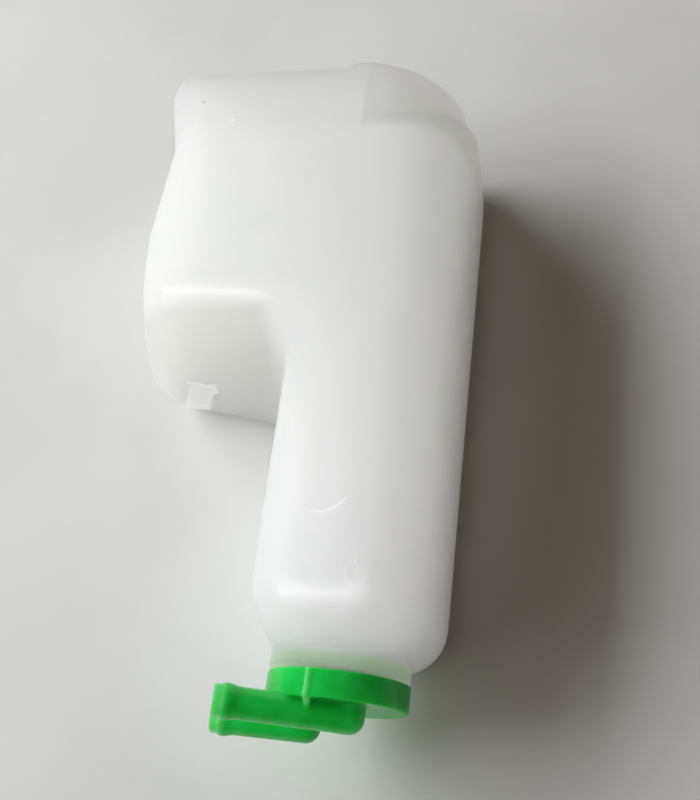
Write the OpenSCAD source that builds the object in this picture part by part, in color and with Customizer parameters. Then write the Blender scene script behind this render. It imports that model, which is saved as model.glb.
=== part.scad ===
// Coolant expansion tank: a blow-moulded body with a push-on cap, its ring seal and a dip tube.
// The neck axis is the Z axis, the foot stands on z = 0, the broad flat front faces -Y
// and the lobe reaches out towards +X. All lengths are in millimetres.

/* [Body] */
// Height of the body from the base to the flat round the neck
body_h = 189; // [170:1:220]
// Depth of the body from front face to back face
body_d = 72; // [68:1:86]
// Wall thickness of the blow moulding
wall = 2.2; // [1.6:0.1:3]
// Neck axis to the right flank, at its widest
flank_x = 27; // [25:0.5:36]
// Neck axis to the left wall of the column, at the front
column_x = 20; // [18:0.5:26]
// Neck axis to the outer wall of the lobe under the shoulder, at the front
lobe_x = 76; // [66:1:90]
// How far the left-hand walls spread from the front to the parting plane
spread = 10; // [2:0.5:12]
// Depth of the parting plane behind the front face
parting_d = 50; // [44:1:54]

/* [Shoulder] */
// Height of the lobe's shoulder at the front
shoulder_h = 89.5; // [76:0.5:104]
// Rise of the shoulder's outer end from the front to the parting plane
shoulder_rise = 9; // [0:0.5:14]
// Further rise of the shoulder beside the column, at the parting plane
shoulder_tilt = 9.5; // [0:0.5:12]
// Radius of the hollow between shoulder and column
shoulder_hollow = 16; // [8:1:22]

/* [Foot] */
// Height of the crease that ends the foot on the front face
crease_h = 33; // [28:0.5:38]
// How far the lobe's outer wall stands in at the crease
waist_in = 4.5; // [0:0.5:8]
// How far the foot's outer wall flares out again at the base
foot_flare = 6; // [0:0.5:8]
// Height of the foot's ledge at the front of the right flank
ledge_h = 27; // [24:0.5:30]
// Dip of the ledge in the middle of the flank
ledge_dip = 17; // [8:0.5:18]
// How far the foot's right flank stands in from the body's
foot_in = 4.5; // [3:0.5:8]
// How far the foot's front stands back from the front face
foot_back = 0.7; // [0.4:0.1:2]

/* [Roundings] */
// Rounding of the shoulder's front edge
shoulder_r = 8; // [5:0.5:10]
// Rounding of the lobe's outer front edge
lobe_r = 11; // [6:0.5:13]
// Rounding of the column's left front edge
column_r = 8; // [4:0.5:10]
// Rounding of the front edge under the neck
top_r = 16; // [10:0.5:18]
// Width of the long rounding of the right flank
flank_round = 20; // [10:0.5:24]
// Depth of the long rounding of the right flank
flank_depth = 34; // [24:1:36]
// Width of the foot's long rounding on the right
foot_round = 32; // [26:1:36]
// Rounding of the foot's bottom edge at the front
base_r = 5; // [3:0.5:9]
// Rounding of all back edges
back_r = 12; // [8:0.5:14]

/* [Neck] */
// Outer radius of the collar under the cap
collar_r = 20.8; // [19.5:0.1:22]
// Height of the collar above the body
collar_h = 6; // [4:0.5:8]
// Outer radius of the neck inside the cap
neck_r = 18.6; // [18.2:0.1:19.2]
// Height of the neck above the collar
neck_h = 4; // [3:0.5:4.5]

/* [Lug] */
// Width of the square lug on the shoulder, and its height above the shoulder
lug_w = 9; // [6:0.5:14]
// Thickness of the lug
lug_t = 3; // [2:0.5:5]
// Neck axis to the middle of the lug
lug_x = 61.5; // [50:0.5:66]
// Depth of the lug's face behind the front face
lug_d = 40.5; // [30:0.5:48]

/* [Cap] */
// Outer radius of the cap
cap_r = 21; // [20.6:0.1:24]
// Height of the cap from the skirt's rim to the face
cap_h = 7.9; // [7.8:0.1:11]
// Thickness of the cap's face
face_t = 2; // [1.6:0.1:2]
// Running clearance between cap and neck
clearance = 0.3; // [0.2:0.05:0.4]
// Width of the rib down the skirt
rib_w = 1.1; // [0.8:0.1:2.4]
// Width of the web at the rim of the face
web_w = 2.6; // [1.8:0.1:4]
// How far the rib stands out from the skirt
rib_out = 0.5; // [0.2:0.1:1]
// Neck axis to the rib
rib_x = 4; // [-4:0.5:8]

/* [Nipples] */
// Turn of the front nipple about its leg, towards the front
front_turn = 21; // [0:1:30]
// Turn of the back nipple about its leg, towards the front
back_turn = 7; // [0:1:30]
// Outer radius of the hose nipples
nipple_r = 4.5; // [4.2:0.1:4.7]
// Bore radius of the nipples
nipple_bore = 1.8; // [1.4:0.1:1.9]
// Radius of the hose bead at the nipple's end
bead_r = 5.1; // [4.9:0.1:6]
// Length of the hose bead's straight land
bead_l = 1.6; // [1:0.1:3]
// Open end of the nipple to the middle of the bead
bead_back = 3.8; // [3:0.1:6]
// Length of the front nipple, from its elbow to its open end
front_l = 38.5; // [32:0.5:50]
// Length of the back nipple, from its elbow to its open end
back_l = 28.5; // [24:0.5:44]
// Height of the front nipple's axis above the face
front_rise = 3.5; // [3.2:0.1:3.9]
// Height of the back nipple's axis above the face
back_rise = 5.6; // [5.2:0.1:8]

/* [Dip tube] */
// Outer radius of the dip tube
tube_r = 3.8; // [3.4:0.1:3.8]
// Bore radius of the dip tube
tube_bore = 2.9; // [2.8:0.1:3]
// Length of the spigot that carries the tube, below the face
spigot_l = 14; // [8:1:20]
// Gap between the tube's open end and the base inside
tube_gap = 10; // [5:1:30]

/* [Hidden] */

$fn = 64;
front_levels = 13;
back_levels = 6;
over = 1;
least = 0.2;

// Radii of the outline's own corners, seen from the front
heel_corner = 2;
crease_corner = 3;
foot_corner = 7;
lobe_corner = 11;
left_corner = 13;
right_corner = 15;
ledge_corner = 5;

// Where the heel, the crease and the ledge turn
heel_edge = 0.5;
heel_x = foot_round - flank_x + foot_in + heel_edge;
heel_run = 4;
crease_x = 5;
crease_end = ledge_h + 1.5;
crease_ramp = 2.5;
ledge_drop = 5;

// How much narrower each side of the web is at its top
web_taper = 0.8;

// Places of the nipples' legs on the cap
front_leg = [-6, -8.3];
back_leg = [10.5, 8.3];

// Heights that the neck and the cap share
collar_z = body_h + collar_h;
neck_z = collar_z + neck_h;
cap_z = collar_z + clearance;
face_z = cap_z + cap_h;
ceiling_z = face_z - face_t;
neck_bore = neck_r - wall;

// How far an edge rounding of width a and depth b draws a wall in, at depth s under its face
function rounding(s, a, b) =
    let (left = (b - max(s, 0)) / b)
    left <= 0 ? 0 : a * (1 - sqrt(max(0, 1 - left * left)));

// Inset of a wall at depth s for the shell drawn in by w: w itself, front and back rounding
function inset(s, w, a, b) =
    let (back = max(least, back_r - w))
    w + rounding(s - w, max(least, a - w), max(least, b - w))
    + rounding(body_d - w - s, back, back);

// Share of the way from the front face to the parting plane
function along(s) = min(1, s / parting_d);

// Height of the shoulder at depth s, from its outer end (k = 0) to the column (k = 1)
function shoulder_z(s, k) = shoulder_h + (shoulder_rise + k * shoulder_tilt) * along(s);

// Corners of the body's outline at depth s for the shell drawn in by w, as [x, z, radius],
// anticlockwise seen from the front and starting at the heel
function corners(s, w) =
    let (
        flank = -flank_x + inset(s, w, flank_round, flank_depth),
        foot = -flank_x + foot_in + inset(s, w, foot_round, flank_depth),
        lobe = lobe_x + spread * along(s) - inset(s, w, lobe_r, lobe_r),
        column = column_x + spread * along(s) - inset(s, w, column_r, column_r),
        base = inset(s, w, base_r, base_r),
        heel = inset(s, w, heel_edge, heel_edge),
        top = body_h - inset(s, w, top_r, top_r),
        drawn = inset(s, w, shoulder_r, shoulder_r),
        ledge = ledge_h + w - ledge_dip * sin(180 * s / body_d)
    )
    [
        [foot, heel, heel_corner],
        [heel_x, heel, 1],
        [heel_x + heel_run, base, 1],
        [lobe - waist_in + foot_flare, base, foot_corner - drawn],
        [lobe - waist_in, crease_h - 2 * crease_ramp, crease_corner],
        [lobe - waist_in, crease_h, crease_corner],
        [lobe, shoulder_z(s, 0) - drawn, lobe_corner - drawn],
        [column, shoulder_z(s, 1) - drawn, shoulder_hollow + drawn],
        [column, top, left_corner - drawn],
        [flank, top, right_corner - drawn],
        [flank, ledge, ledge_corner - w],
        [foot, ledge - ledge_drop, 1]
    ];

// Arc of radius r in the corner at b between a and c, as steps + 1 points
function corner_arc(a, b, c, r, steps) =
    let (
        u = (a - b) / norm(a - b),
        v = (c - b) / norm(c - b),
        half = min(89.9, acos(max(-1, min(1, u * v))) / 2),
        out = half < 89.9 ? (u + v) / norm(u + v) : [-u[1], u[0]],
        reach = min(max(least, max(least, r) / tan(half)), 0.45 * min(norm(a - b), norm(c - b))),
        radius = reach * tan(half),
        centre = b + out * norm([reach, radius]),
        start = b + u * reach - centre,
        turn = (u[0] * v[1] > u[1] * v[0] ? -1 : 1) * (180 - 2 * half)
    )
    [for (i = [0:steps]) let (t = turn * i / steps)
        centre + [start[0] * cos(t) - start[1] * sin(t), start[0] * sin(t) + start[1] * cos(t)]];

// Rounded outline at depth s as a flat list of [x, z]
function outline(s, w, steps) =
    let (c = corners(s, w), n = len(c))
    [for (i = [0:n - 1])
        let (a = c[(i + n - 1) % n], b = c[i], d = c[(i + 1) % n])
        each corner_arc([a[0], a[1]], [b[0], b[1]], [d[0], d[1]], b[2], steps)];

// Depths of the outlines, close together where the roundings begin
function levels(w) = concat(
    [for (k = [0:front_levels]) w + (flank_depth - w) * pow(k / front_levels, 2)],
    [parting_d],
    [for (k = [back_levels:-1:0]) body_d - w - (back_r - w) * pow(k / back_levels, 2)]
);

// Closed shell of the body, drawn in by w, with each corner arc in that many steps.
// The foot's points stand back from the front face, less and less towards the back.
module shell(w, steps) {
    depths = levels(w);
    last = len(depths) - 1;
    ring = len(corners(w, w)) * (steps + 1);
    crease_first = 5 * (steps + 1);
    ledge_last = 11 * (steps + 1) - 1;
    face_y = w - body_d / 2;
    foot_y = face_y + foot_back * (1 - w / body_d);
    rings = [for (s = depths) let (line = outline(s, w, steps)) for (i = [0:ring - 1])
        let (shift = i < crease_first || i > ledge_last ? foot_back * (1 - s / body_d) : 0)
        [line[i][0], s - body_d / 2 + shift, line[i][1]]];
    upper = len(rings);
    lower = upper + 1;
    crease = [[crease_x, face_y, crease_end], [crease_x, foot_y, crease_end - crease_ramp]];
    body_face = concat([upper], [for (i = [ledge_last:-1:crease_first]) i]);
    foot_face = concat([for (i = [crease_first - 1:-1:0]) i],
        [for (i = [ring - 1:-1:ledge_last + 1]) i], [lower]);
    ramps = [
        [crease_first, crease_first - 1, lower, upper],
        [upper, lower, ledge_last + 1, ledge_last]
    ];
    walls = [for (j = [0:last - 1]) for (i = [0:ring - 1])
        let (n = (i + 1) % ring, a = j * ring, b = a + ring)
        each [[a + i, a + n, b + n], [a + i, b + n, b + i]]];
    back_face = [for (i = [0:ring - 1]) last * ring + i];
    polyhedron(
        points = concat(rings, crease),
        faces = concat([body_face, foot_face, back_face], ramps, walls),
        convexity = 8
    );
}

// Square lug standing up from the shoulder, rooted in its wall
module lug() {
    k = (lobe_x + spread - lug_x) / (lobe_x - column_x);
    shoulder = shoulder_z(lug_d, k);
    translate([lug_x - lug_w / 2, lug_d - body_d / 2, shoulder - wall])
        cube([lug_w, lug_t, lug_w + wall]);
}

// Outside of the collar and the neck, as one turned profile
module neck_outside() {
    root = body_h - top_r;
    rotate_extrude()
        polygon([
            [0, root], [collar_r, root], [collar_r, collar_z],
            [neck_r, collar_z], [neck_r, neck_z], [0, neck_z]
        ]);
}

// Inside of the collar and the neck, open at the top
module neck_inside() {
    root = body_h - top_r - over;
    rotate_extrude()
        polygon([
            [0, root], [collar_r - wall, root], [collar_r - wall, collar_z - wall],
            [neck_bore, collar_z - wall], [neck_bore, neck_z + over], [0, neck_z + over]
        ]);
}

module tank_body() {
    color([0.93, 0.94, 0.92])
    difference() {
        union() {
            shell(0, 6);
            neck_outside();
            lug();
        }
        shell(wall, 3);
        neck_inside();
    }
}

// Places its children at a leg on the cap's face, turned to the nipple's heading
module at_leg(leg, turn) {
    translate([leg[0], leg[1], face_z])
        rotate([0, 0, -turn])
            children();
}

// One elbow nipple: upright leg, rounded elbow, level tube and hose bead
module nipple(leg, turn, rise, length) {
    bead = length - bead_back;
    at_leg(leg, turn) {
        translate([0, 0, -face_t])
            cylinder(r = nipple_r, h = rise + face_t);
        translate([0, 0, rise]) {
            sphere(r = nipple_r);
            rotate([0, 90, 0]) {
                cylinder(r = nipple_r, h = length);
                rotate_extrude()
                    polygon([
                        [0, bead - 2 * bead_l], [nipple_r, bead - 2 * bead_l],
                        [bead_r, bead - bead_l / 2], [bead_r, bead + bead_l / 2],
                        [nipple_r, bead + bead_l], [0, bead + bead_l]
                    ]);
            }
        }
    }
}

// The way through a nipple: a level bore, and an upright one down through the face by deep
module nipple_way(leg, turn, rise, length, deep) {
    at_leg(leg, turn) {
        translate([0, 0, rise])
            rotate([0, 90, 0])
                cylinder(r = nipple_bore, h = length + over);
        translate([0, 0, -deep])
            cylinder(r = nipple_bore, h = deep + rise);
    }
}

// Web from the rim of the face up to the front nipple, narrower towards its top
module web() {
    rim_y = -sqrt(cap_r * cap_r - rib_x * rib_x);
    nipple_y = front_leg[1] - (rib_x - front_leg[0]) * tan(front_turn);
    side_y = nipple_y - nipple_r;
    top = web_w / 2 - web_taper;
    translate([rib_x, 0, face_z])
        intersection() {
            translate([-web_w, 0, 0])
                rotate([90, 0, 90])
                    linear_extrude(2 * web_w)
                        polygon([
                            [rim_y, -over], [nipple_y, -over], [nipple_y, front_rise],
                            [side_y, front_rise], [rim_y, 0]
                        ]);
            rotate([90, 0, 0])
                linear_extrude(cap_r)
                    polygon([
                        [-web_w / 2, -over], [web_w / 2, -over], [web_w / 2, 0],
                        [top, front_rise], [-top, front_rise], [-web_w / 2, 0]
                    ]);
        }
}

// Thin rib down the outside of the skirt
module rib() {
    translate([rib_x - rib_w / 2, -cap_r - rib_out, cap_z])
        cube([rib_w, cap_r / 2, cap_h]);
}

module cap() {
    color([0.1, 0.72, 0.25])
    difference() {
        union() {
            difference() {
                union() {
                    translate([0, 0, cap_z])
                        cylinder(r = cap_r, h = cap_h);
                    rib();
                }
                translate([0, 0, cap_z - over])
                    cylinder(r = neck_r + clearance, h = ceiling_z - cap_z + over);
            }
            translate([front_leg[0], front_leg[1], ceiling_z - spigot_l])
                cylinder(r = tube_bore - clearance / 2, h = spigot_l + face_t / 2);
            nipple(front_leg, front_turn, front_rise, front_l);
            nipple(back_leg, back_turn, back_rise, back_l);
            web();
        }
        nipple_way(front_leg, front_turn, front_rise, front_l, face_t + spigot_l + over);
        nipple_way(back_leg, back_turn, back_rise, back_l, face_t + over);
    }
}

module cap_seal() {
    color([0.15, 0.15, 0.15])
    translate([0, 0, neck_z])
        difference() {
            cylinder(r = neck_r, h = ceiling_z - neck_z);
            translate([0, 0, -over])
                cylinder(r = neck_bore, h = ceiling_z - neck_z + 2 * over);
        }
}

module dip_tube() {
    low = wall + tube_gap;
    color([0.75, 0.78, 0.76])
    translate([front_leg[0], front_leg[1], low])
        difference() {
            cylinder(r = tube_r, h = ceiling_z - low);
            translate([0, 0, -over])
                cylinder(r = tube_bore, h = ceiling_z - low + 2 * over);
        }
}

tank_body();
cap();
cap_seal();
dip_tube();
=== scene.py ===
from math import cos, radians, sin

import bmesh
import bpy
from mathutils import Matrix, Vector


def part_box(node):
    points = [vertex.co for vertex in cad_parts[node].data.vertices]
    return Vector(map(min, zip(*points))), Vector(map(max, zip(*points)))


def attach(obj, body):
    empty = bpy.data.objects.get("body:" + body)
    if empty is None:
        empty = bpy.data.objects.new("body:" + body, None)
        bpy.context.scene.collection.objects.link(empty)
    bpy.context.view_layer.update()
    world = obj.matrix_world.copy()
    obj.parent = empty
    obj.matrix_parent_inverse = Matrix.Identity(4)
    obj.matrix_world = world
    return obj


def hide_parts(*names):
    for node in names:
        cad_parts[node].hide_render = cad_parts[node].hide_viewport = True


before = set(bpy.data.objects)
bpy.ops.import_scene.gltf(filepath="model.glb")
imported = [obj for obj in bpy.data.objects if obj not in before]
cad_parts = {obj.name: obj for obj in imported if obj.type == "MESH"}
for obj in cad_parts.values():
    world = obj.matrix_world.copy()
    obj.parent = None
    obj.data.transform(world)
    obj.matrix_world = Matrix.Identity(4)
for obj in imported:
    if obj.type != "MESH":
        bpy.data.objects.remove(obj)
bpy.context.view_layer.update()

# A coolant expansion tank of milky plastic with a green cap. It stands up along +Z, its
# broad front faces -Y and its lobe reaches towards +X. The photograph shows it lying on
# its back, upside down, on a pale table. Lengths are in mm, and MM turns them into metres.

MM = 0.001
TANK_LOW, TANK_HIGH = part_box("tank_body")
SEAL_LOW, SEAL_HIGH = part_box("cap_seal")
COLLAR_HIGH = 6
NECK_OVER_COLLAR = 4
NECK_TOP = SEAL_LOW.z / MM
BODY_TOP = NECK_TOP - NECK_OVER_COLLAR - COLLAR_HIGH
WALL = 2.2
MOUTH = SEAL_HIGH.x / MM - WALL
MOUTH_DEEP = 6.0
FRONT = TANK_LOW.y / MM

# The cuts that make room to draw in the lobe's corner, and how far its front moves
CORNER_HEIGHTS = (63, 67, 71, 75, 79, 82)
CORNER_DEPTHS = (-27, -22, -17, -12, -7, -2)
CORNER_REACH = (40, 75)
CORNER_PULL = 3.0

# Where the tank's tones and its painted light and shade lie; a pair is where a tone begins to
# change and where it has changed
COOL_HEIGHT = (120, 175)
FOOT_TOP = 25.0
RECESS_END = 6.0
RECESS_DEPTH = (-20, 0)
SHOULDER_LOW, SHOULDER_HIGH = (87.5, 91), (112, 118)
COLUMN_SIDE = (24, 34)
LOBE_SIDE = (66, 75)
LUG_MIDDLE, LUG_DEPTH = 61.5, 6.0
LUG_HALF_WIDE, LUG_HALF_THICK, LUG_ROOT = (5, 6), (1.8, 2.2), (95, 96)
DRAG_LOW, DRAG_HIGH = (166, 172), (180, 186)

# Marks on the front: the middle in x and height, the radius, and how soft the edge is
SCUFF = (-9.5, 170.8), 4.2, 2.2
DARK_DOT = (62.0, 14.3), 0.45, 0.25
PALE_DOT = (50.4, 22.2), 0.6, 0.3
SMUDGE = (35.1, 62.3), 3.2, 2.8

# The scratch is an arc; its turn and its half width are in degrees
SCRATCH_MIDDLE = (4.5, 144.5)
SCRATCH_RADIUS = 11.0
SCRATCH_LINE = (0.15, 0.7)
SCRATCH_TURN, SCRATCH_HALF = 119, 40

# The cap's rib, paled with a painted highlight, and the tips of its nipples, paled with wear and
# a painted highlight, which end on a slant
RIB_MIDDLE = 4.0
RIB_HALF_WIDE, RIB_FRONT = (0.7, 1.1), (-19, -18)
TIPS, TIP_SLANT = (32, 36), 0.33

MILK = (0.735, 0.76, 0.735), (0.775, 0.79, 0.77)
MILK_SPREAD = (1.0, 0.98, 0.9)
MILK_TOP = (0.75, 0.755, 0.80)
# Painted light: the green glow that the cap throws into the white neck
NECK_CAP_GLOW = (0.46, 0.93, 0.42)
# Painted shade: the darkness inside the mouth's pocket
MOUTH_SHADE = (0.30, 0.33, 0.30)
# Painted shade: the greyer foot and the darker recess beside its ledge
FOOT_SHADE = (0.57, 0.59, 0.56)
# Painted shade: the lobe's outer side wall is greyed
LOBE_SIDE_SHADE = (0.62, 0.64, 0.62)
# Painted shade: the shoulder in the notch is greyed
SHOULDER_SHADE = (0.56, 0.545, 0.52)
# Painted light: the raised lug is paled as if catching the light
LUG_LIGHT = (0.90, 0.90, 0.89)
SCRATCHED = (0.93, 0.94, 0.93)
DIRT = (0.42, 0.42, 0.38)
GREEN = (0.006, 0.50, 0.055), (0.014, 0.61, 0.09)
GREEN_SPREAD = (0.3, 1.0, 0.4)
# Wear and painted highlight: the paler green of the nipple tips and the rib
GREEN_WEAR_AND_GLINT = (0.26, 0.78, 0.32)
RUBBER = (0.012, 0.012, 0.012), (0.03, 0.03, 0.03)
TUBE = (0.60, 0.64, 0.60), (0.70, 0.72, 0.69)
TABLE = (0.85, 0.855, 0.85), (0.90, 0.905, 0.90)


# ---- Node maths ----

class Value:
    """A node's output that takes Python arithmetic; each operator adds a Math node."""

    def __init__(self, finish, socket):
        self.finish = finish
        self.socket = socket

    def _math(self, operation, *terms):
        return self.finish.node("ShaderNodeMath", dict(enumerate(terms)), operation=operation)

    def __add__(self, other):
        return self._math("ADD", self, other)

    def __sub__(self, other):
        return self._math("SUBTRACT", self, other)

    def __rsub__(self, other):
        return self._math("SUBTRACT", other, self)

    def __mul__(self, other):
        return self._math("MULTIPLY", self, other)

    def __pow__(self, other):
        return self._math("POWER", self, other)

    def __abs__(self):
        return self._math("ABSOLUTE", self)

    __radd__ = __add__
    __rmul__ = __mul__

    def at_least(self, other):
        return self._math("MAXIMUM", self, other)

    def angle(self, other):
        return self._math("ARCTAN2", self, other)

    def ramp(self, low, high, start=0, end=1):
        """start below low, end above high, and a smooth step between them."""
        return self.finish.node(
            "ShaderNodeMapRange",
            {"Value": self, "From Min": low, "From Max": high, "To Min": start, "To Max": end},
            interpolation_type="SMOOTHSTEP",
        )

    def fall(self, low, high):
        """1 below low, 0 above high, and a smooth step between them."""
        return self.ramp(low, high, 1, 0)


class Finish:
    """One procedural material round a Principled shader."""

    def __init__(self, name, **sockets):
        self.material = bpy.data.materials.new(name)
        self.material.use_nodes = True
        self.tree = self.material.node_tree
        self.tree.nodes.clear()
        self.output = self.tree.nodes.new("ShaderNodeOutputMaterial")
        self.shader = self.tree.nodes.new("ShaderNodeBsdfPrincipled")
        self.tree.links.new(self.shader.outputs[0], self.output.inputs["Surface"])
        self.set(**sockets)

    def _feed(self, socket, value):
        if isinstance(value, Value):
            self.tree.links.new(value.socket, socket)
        elif socket.type == "RGBA":
            socket.default_value = (*value, 1)
        else:
            socket.default_value = value

    def set(self, **sockets):
        """Feeds the shader's sockets, with base_color for its Base Color and so on."""
        for name, value in sockets.items():
            self._feed(self.shader.inputs[name.replace("_", " ").title()], value)

    def node(self, kind, sockets, out=0, **settings):
        made = self.tree.nodes.new(kind)
        for name, value in settings.items():
            setattr(made, name, value)
        for name, value in sockets.items():
            self._feed(made.inputs[name], value)
        return Value(self, made.outputs[out])

    def place(self):
        """Where a point is in the part's frame, in millimetres."""
        metres = self.node("ShaderNodeTexCoord", {}, "Object")
        return self.node(
            "ShaderNodeVectorMath", {0: metres, 1: (1 / MM,) * 3}, operation="MULTIPLY"
        )

    def axes(self, place):
        return [self.node("ShaderNodeSeparateXYZ", {0: place}, axis) for axis in "XYZ"]

    def noise(self, place, grain, detail, stretch=(1, 1, 1)):
        """Noise from 0 to 1 whose lumps are about grain millimetres wide."""
        drawn = self.node(
            "ShaderNodeVectorMath", {0: place, 1: stretch}, operation="MULTIPLY"
        )
        return self.node(
            "ShaderNodeTexNoise", {"Vector": drawn, "Scale": 1 / grain, "Detail": detail}
        )

    def mix(self, share, low, high):
        """The colour low where share is 0, and high where it is 1."""
        return self.node("ShaderNodeMix", {0: share, 6: low, 7: high}, 2, data_type="RGBA")

    def bump(self, height, depth):
        """A Normal from a height between 0 and 1 that stands for depth millimetres."""
        return self.node(
            "ShaderNodeBump", {"Height": height, "Distance": depth * MM, "Strength": 1.0}
        )


# ---- Finishes ----

def spot(x, z, middle, radius, soft):
    """1 inside a round spot on the front, 0 outside it."""
    away = ((x - middle[0]) ** 2 + (z - middle[1]) ** 2) ** 0.5
    return away.fall(radius - soft, radius + soft)


def scratch_arc(x, z):
    """1 on the scratch, which thins out towards both ends."""
    dx = x - SCRATCH_MIDDLE[0]
    dz = z - SCRATCH_MIDDLE[1]
    off_line = abs((dx ** 2 + dz ** 2) ** 0.5 - SCRATCH_RADIUS)
    off_middle = abs(dz.angle(dx) - radians(SCRATCH_TURN))
    return off_line.fall(*SCRATCH_LINE) * off_middle.fall(
        radians(SCRATCH_HALF * 0.4), radians(SCRATCH_HALF)
    )


def milk_tones_and_painted_light(made, place, neck):
    """The plastic's own colour, cooler at the top, with light and shade painted in: the cap's
    green glow on the neck, painted shade greying the foot, the lobe's side and the shoulder and
    darkening the mouth, and painted light paling the lug."""
    x, y, z = made.axes(place)
    cloud = made.noise(place, 45, 2)
    colour = made.mix(cloud.ramp(0.3, 0.7), *MILK)
    colour = made.mix(z.ramp(*COOL_HEIGHT, end=0.7), colour, MILK_TOP)
    # painted light: the cap's green glow on the neck
    colour = made.mix(neck * 0.9, colour, NECK_CAP_GLOW)

    # painted shade: the mouth's pocket is darkened
    mouth = ((x ** 2 + y ** 2) ** 0.5).fall(MOUTH - 0.6, MOUTH + 0.2)
    colour = made.mix(mouth * z.ramp(BODY_TOP - 2, BODY_TOP), colour, MOUTH_SHADE)

    # painted shade: the foot is greyed, the recess more so
    foot = z.fall(FOOT_TOP - 4, FOOT_TOP + 4)
    recess = foot * x.fall(RECESS_END - 1, RECESS_END + 1) * y.fall(*RECESS_DEPTH)
    colour = made.mix(foot * 0.25 + recess * 0.45, colour, FOOT_SHADE)
    # painted shade: the lobe's outer side is greyed
    colour = made.mix(x.ramp(*LOBE_SIDE) * 0.4, colour, LOBE_SIDE_SHADE)

    # painted shade: the shoulder is greyed
    shoulder = z.ramp(*SHOULDER_LOW) * z.fall(*SHOULDER_HIGH) * x.ramp(*COLUMN_SIDE)
    colour = made.mix(shoulder * 0.6, colour, SHOULDER_SHADE)
    # painted light: the lug is paled
    lug = abs(x - LUG_MIDDLE).fall(*LUG_HALF_WIDE) * abs(y - LUG_DEPTH).fall(*LUG_HALF_THICK)
    return made.mix(lug * z.ramp(*LUG_ROOT), colour, LUG_LIGHT)


def tank_finish():
    """Milky, slightly glossy plastic with the marks of use that the front shows."""
    made = Finish(
        "milky_plastic", subsurface_weight=1.0, subsurface_scale=200 * MM,
        subsurface_radius=MILK_SPREAD,
    )
    place = made.place()
    x, y, z = made.axes(place)
    neck = z.ramp(BODY_TOP - 1, BODY_TOP + 4)
    front = y.fall(FRONT + 2, FRONT + 4)
    scratch = scratch_arc(x, z) * front
    scuffs = made.noise(place, 1.3, 2, (1.7, 1, 0.5)).ramp(0.55, 0.68)
    scuffs = scuffs * spot(x, z, *SCUFF) * front
    pale = spot(x, z, *PALE_DOT) * front
    dark = (spot(x, z, *DARK_DOT) + spot(x, z, *SMUDGE) * 0.06) * front

    colour = milk_tones_and_painted_light(made, place, neck)
    colour = made.mix(scratch + scuffs * 0.6 + pale, colour, SCRATCHED)
    colour = made.mix(dark, colour, DIRT)

    drag = made.noise(place, 1.6, 2, (1, 1, 0.08)) * z.ramp(*DRAG_LOW) * z.fall(*DRAG_HIGH)
    peel = made.noise(place, 1.5, 2)
    swell = made.noise(place, 16, 2)
    made.set(
        base_color=colour,
        roughness=made.noise(place, 9, 3) * 0.06 + neck * 0.2 + 0.35,
        normal=made.bump(peel * 0.015 + swell * 0.6 + drag * 0.08 + scratch * 0.25, 0.35),
    )
    return made.material


def cap_finish():
    """Bright green, glossy, slightly translucent plastic, paler on the rib with a painted
    highlight and on the tips with wear and a painted highlight.
    """
    made = Finish(
        "green_plastic", subsurface_weight=0.9, subsurface_scale=8 * MM,
        subsurface_radius=GREEN_SPREAD,
    )
    place = made.place()
    x, y, z = made.axes(place)
    cloud = made.noise(place, 7, 2)
    worn_glint = (x - y * TIP_SLANT).ramp(*TIPS) * made.noise(place, 2.2, 3)
    rib = abs(x - RIB_MIDDLE).fall(*RIB_HALF_WIDE) * y.fall(*RIB_FRONT)
    colour = made.mix(cloud.ramp(0.3, 0.7), *GREEN)
    # wear and painted highlight on the tips, painted highlight on the rib
    colour = made.mix((worn_glint * 0.9).at_least(rib * 0.45), colour, GREEN_WEAR_AND_GLINT)
    made.set(
        base_color=colour,
        roughness=made.noise(place, 3, 3) * 0.12 + 0.24,
        normal=made.bump(made.noise(place, 0.9, 2), 0.03),
    )
    return made.material


def seal_finish():
    """Matt black rubber."""
    made = Finish("black_rubber", roughness=0.7)
    grain = made.noise(made.place(), 0.6, 2)
    made.set(base_color=made.mix(grain, *RUBBER), normal=made.bump(grain, 0.04))
    return made.material


def tube_finish():
    """Milky tube plastic with faint lines of drawing along it."""
    made = Finish("tube_plastic", roughness=0.45, subsurface_weight=0.5, subsurface_scale=2 * MM)
    lines = made.noise(made.place(), 0.8, 2, (1, 1, 0.02))
    made.set(base_color=made.mix(lines, *TUBE), normal=made.bump(lines, 0.05))
    return made.material


def table_finish():
    """A pale, faintly mottled top that is clear from behind, so that the tank's back shows."""
    made = Finish("pale_table", roughness=0.6)
    mottle = made.noise(made.place(), 60, 4)
    made.set(base_color=made.mix(mottle.ramp(0.3, 0.7), *TABLE))
    behind = made.node("ShaderNodeNewGeometry", {}, "Backfacing")
    clear = made.node("ShaderNodeBsdfTransparent", {})
    top = Value(made, made.shader.outputs[0])
    seen = made.node("ShaderNodeMixShader", {0: behind, 1: top, 2: clear})
    made.tree.links.new(seen.socket, made.output.inputs["Surface"])
    return made.material


# ---- Pieces ----

def welded(node):
    """A CAD node's mesh with its doubles merged, ready for work."""
    work = bmesh.new()
    work.from_mesh(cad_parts[node].data)
    bmesh.ops.remove_doubles(work, verts=work.verts, dist=0.002 * MM)
    return work


def new_piece(name, work, finish):
    mesh = bpy.data.meshes.new(name)
    work.to_mesh(mesh)
    work.free()
    mesh.materials.append(finish)
    piece = bpy.data.objects.new(name, mesh)
    bpy.context.scene.collection.objects.link(piece)
    return piece


def modify(piece, kind, **settings):
    added = piece.modifiers.new(kind.lower(), kind)
    for name, value in settings.items():
        setattr(added, name, value)


def joined_faces(start):
    """Every face that can be reached from start over shared edges."""
    found, waiting = {start}, [start]
    while waiting:
        for edge in waiting.pop().edges:
            for face in edge.link_faces:
                if face not in found:
                    found.add(face)
                    waiting.append(face)
    return found


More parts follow.
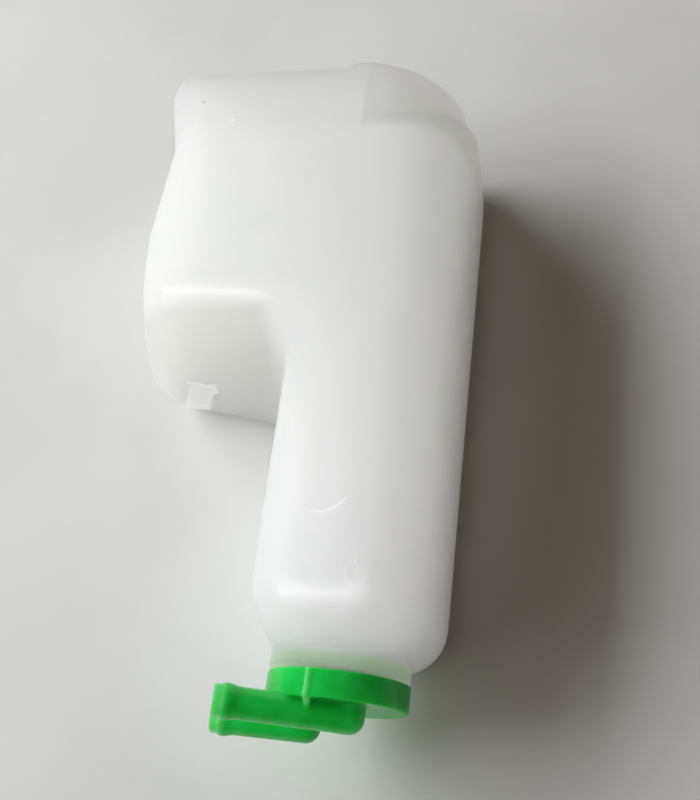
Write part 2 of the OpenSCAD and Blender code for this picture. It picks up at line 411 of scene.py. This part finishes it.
def fill_tank(work):
    """Takes the inner wall away, so that light spreads through the tank, and leaves a
    shallow pocket for the mouth."""
    rim = [f for f in work.faces if all(v.co.z > (NECK_TOP - 0.1) * MM for v in f.verts)]
    bmesh.ops.delete(work, geom=rim, context="FACES")
    lowest = min(work.verts, key=lambda v: v.co.z)
    outside = joined_faces(lowest.link_faces[0])
    inside = [f for f in work.faces if f not in outside]
    bmesh.ops.delete(work, geom=inside, context="FACES")
    loose = [e for e in work.edges if e.is_boundary]
    lid = bmesh.ops.contextual_create(work, geom=loose)["faces"]
    bmesh.ops.inset_region(work, faces=lid, thickness=WALL * MM, use_even_offset=True)
    floor = bmesh.ops.extrude_face_region(work, geom=lid)
    bmesh.ops.delete(work, geom=lid, context="FACES")
    sunk = [v for v in floor["geom"] if isinstance(v, bmesh.types.BMVert)]
    bmesh.ops.translate(work, verts=sunk, vec=(0, 0, -MOUTH_DEEP * MM))
    bmesh.ops.recalc_face_normals(work, faces=work.faces)


def cut_across(work, point, normal):
    parts = work.verts[:] + work.edges[:] + work.faces[:]
    bmesh.ops.bisect_plane(work, geom=parts, plane_co=point, plane_no=normal)


def part_way(value, low, high):
    """0 at low, 1 at high, and even between them."""
    return min(max((value - low) / (high - low), 0), 1)


def soften_corner(work):
    """Draws in the lobe's upper front corner, which is straighter in the photograph."""
    for height in CORNER_HEIGHTS:
        cut_across(work, (0, 0, height * MM), (0, 0, 1))
    for depth in CORNER_DEPTHS:
        cut_across(work, (0, depth * MM, 0), (0, 1, 0))
    for vert in work.verts:
        x, y, z = vert.co / MM
        pull = part_way(z, CORNER_HEIGHTS[0], CORNER_HEIGHTS[-1])
        pull *= part_way(y, CORNER_DEPTHS[-1], CORNER_DEPTHS[0]) * part_way(x, *CORNER_REACH)
        vert.co.x -= pull * CORNER_PULL * MM


def make_tank():
    work = welded("tank_body")
    fill_tank(work)
    soften_corner(work)
    piece = new_piece("tank_skin", work, tank_finish())
    modify(piece, "REMESH", mode="VOXEL", voxel_size=0.9 * MM, use_smooth_shade=True)
    modify(piece, "SMOOTH", factor=0.5, iterations=5)
    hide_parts("tank_body")
    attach(piece, "tank")
    return piece


def make_cap():
    piece = new_piece("cap_skin", welded("cap"), cap_finish())
    modify(piece, "REMESH", mode="VOXEL", voxel_size=0.4 * MM, use_smooth_shade=True)
    modify(piece, "SMOOTH", factor=0.5, iterations=4)
    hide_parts("cap")
    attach(piece, "cap")
    return piece


def dress_node(node, finish):
    """Puts a finish on a CAD node that keeps its own shape."""
    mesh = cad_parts[node].data
    mesh.materials.clear()
    mesh.materials.append(finish)


# ---- Stage, light and camera ----

TABLE_GAP = 0.2
TABLE_SIZE = 3.0
TABLE_HEIGHT = 0.1


def make_table():
    """The table that the tank's back lies on, upright as the tank is."""
    work = bmesh.new()
    bmesh.ops.create_grid(work, x_segments=1, y_segments=1, size=TABLE_SIZE / 2)
    bmesh.ops.rotate(work, verts=work.verts, matrix=Matrix.Rotation(radians(90), 3, "X"))
    behind = (0, TANK_HIGH.y + TABLE_GAP * MM, TABLE_HEIGHT)
    bmesh.ops.translate(work, verts=work.verts, vec=behind)
    table = new_piece("table_top", work, table_finish())
    table.visible_shadow = False
    return table


AIM = Vector((0.02, 0, 0.1))
WINDOW_TINT = (0.97, 0.99, 1.0)


def make_lamp(name, way, away, sides, power, lights=None, gloss=False, glow=True):
    """A lamp that shines on AIM from the direction way, on all or on the pieces in lights.
    gloss makes it show in reflections, and glow makes it light matt surfaces."""
    lamp = bpy.data.lights.new(name, "AREA")
    lamp.shape = "RECTANGLE"
    lamp.size, lamp.size_y = sides
    lamp.energy = power
    placed = bpy.data.objects.new(name, lamp)
    way = Vector(way).normalized()
    placed.location = AIM + way * away
    placed.rotation_mode = "QUATERNION"
    placed.rotation_quaternion = way.to_track_quat("Z", "Y")
    placed.visible_glossy = gloss
    placed.visible_diffuse = glow
    bpy.context.scene.collection.objects.link(placed)
    if lights:
        chosen = bpy.data.collections.new(name + "_lights")
        for piece in lights:
            chosen.objects.link(piece)
        placed.light_linking.receiver_collection = chosen
    return placed


def make_lamps(table, tank, cap, tube):
    """A soft window lights everything, and weaker lamps stand for the light of the room."""
    window = make_lamp("window", (1.25, -1.0, -0.41), 1.7, (0.72, 2.0), 30.5)
    window.data.color = WINDOW_TINT
    make_lamp(
        "ceiling", (0.0, -0.88, 0.42), 1.2, (1.7, 0.45), 18.0, [tank], gloss=True, glow=False
    )
    make_lamp("front_fill", (0.15, -1.0, 0.6), 1.5, (1.2, 1.2), 8.2, [tank, cap, tube])
    make_lamp("side_fill", (-0.65, -0.8, 0.45), 1.5, (1.2, 1.2), 9.0, [tank])
    make_lamp("back_fill", (0.9, 1.0, 0.2), 1.2, (0.8, 0.8), 2.4, [tank, cap, tube])
    make_lamp("table_fill", (1.2, -0.8, 0.55), 1.2, (1.2, 1.2), 3.8, [table])


# Strength and colour of the surround, as it lights the tank and as the camera sees it
SURROUND_LIGHT = 0.055, (1.0, 0.66, 0.36)
SURROUND_SEEN = 0.85, (1, 1, 1)


def make_world():
    """A dim, warm surround that the camera sees as a pale backdrop."""
    world = bpy.data.worlds.new("surround")
    world.use_nodes = True
    tree = world.node_tree
    tree.nodes.clear()
    output = tree.nodes.new("ShaderNodeOutputWorld")
    path = tree.nodes.new("ShaderNodeLightPath")
    mixed = tree.nodes.new("ShaderNodeMixShader")
    for slot, (strength, colour) in enumerate((SURROUND_LIGHT, SURROUND_SEEN), 1):
        shade = tree.nodes.new("ShaderNodeBackground")
        shade.inputs["Strength"].default_value = strength
        shade.inputs["Color"].default_value = (*colour, 1)
        tree.links.new(shade.outputs[0], mixed.inputs[slot])
    tree.links.new(path.outputs["Is Camera Ray"], mixed.inputs[0])
    tree.links.new(mixed.outputs[0], output.inputs["Surface"])
    bpy.context.scene.world = world


# The camera's place in mm and its turn; the photograph is upside down and a little askew
CAMERA_PLACE = (-77.74, -318.34, 239.47)
CAMERA_AZIMUTH, CAMERA_ELEVATION, CAMERA_ROLL = -15.0, 21.909, 187.295
FOCAL_PIXELS, PICTURE_WIDE, SENSOR = 1100, 700, 36


def make_camera():
    azimuth, elevation = radians(CAMERA_AZIMUTH), radians(CAMERA_ELEVATION)
    roll = radians(CAMERA_ROLL)
    back = Vector((
        sin(azimuth) * cos(elevation), -cos(azimuth) * cos(elevation), sin(elevation)
    ))
    right = Vector((0, 0, 1)).cross(back).normalized()
    up = back.cross(right)
    lens = bpy.data.cameras.new("camera")
    lens.sensor_fit = "HORIZONTAL"
    lens.sensor_width = SENSOR
    lens.lens = FOCAL_PIXELS / PICTURE_WIDE * SENSOR
    camera = bpy.data.objects.new("camera", lens)
    turned = Matrix((
        cos(roll) * right + sin(roll) * up, cos(roll) * up - sin(roll) * right, back
    )).transposed().to_4x4()
    camera.matrix_world = Matrix.Translation(Vector(CAMERA_PLACE) * MM) @ turned
    bpy.context.scene.collection.objects.link(camera)
    bpy.context.scene.camera = camera


tank = make_tank()
cap = make_cap()
dress_node("cap_seal", seal_finish())
dress_node("dip_tube", tube_finish())
table = make_table()
make_lamps(table, tank, cap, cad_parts["dip_tube"])
make_world()
make_camera()
bpy.context.scene.view_settings.view_transform = "Standard"
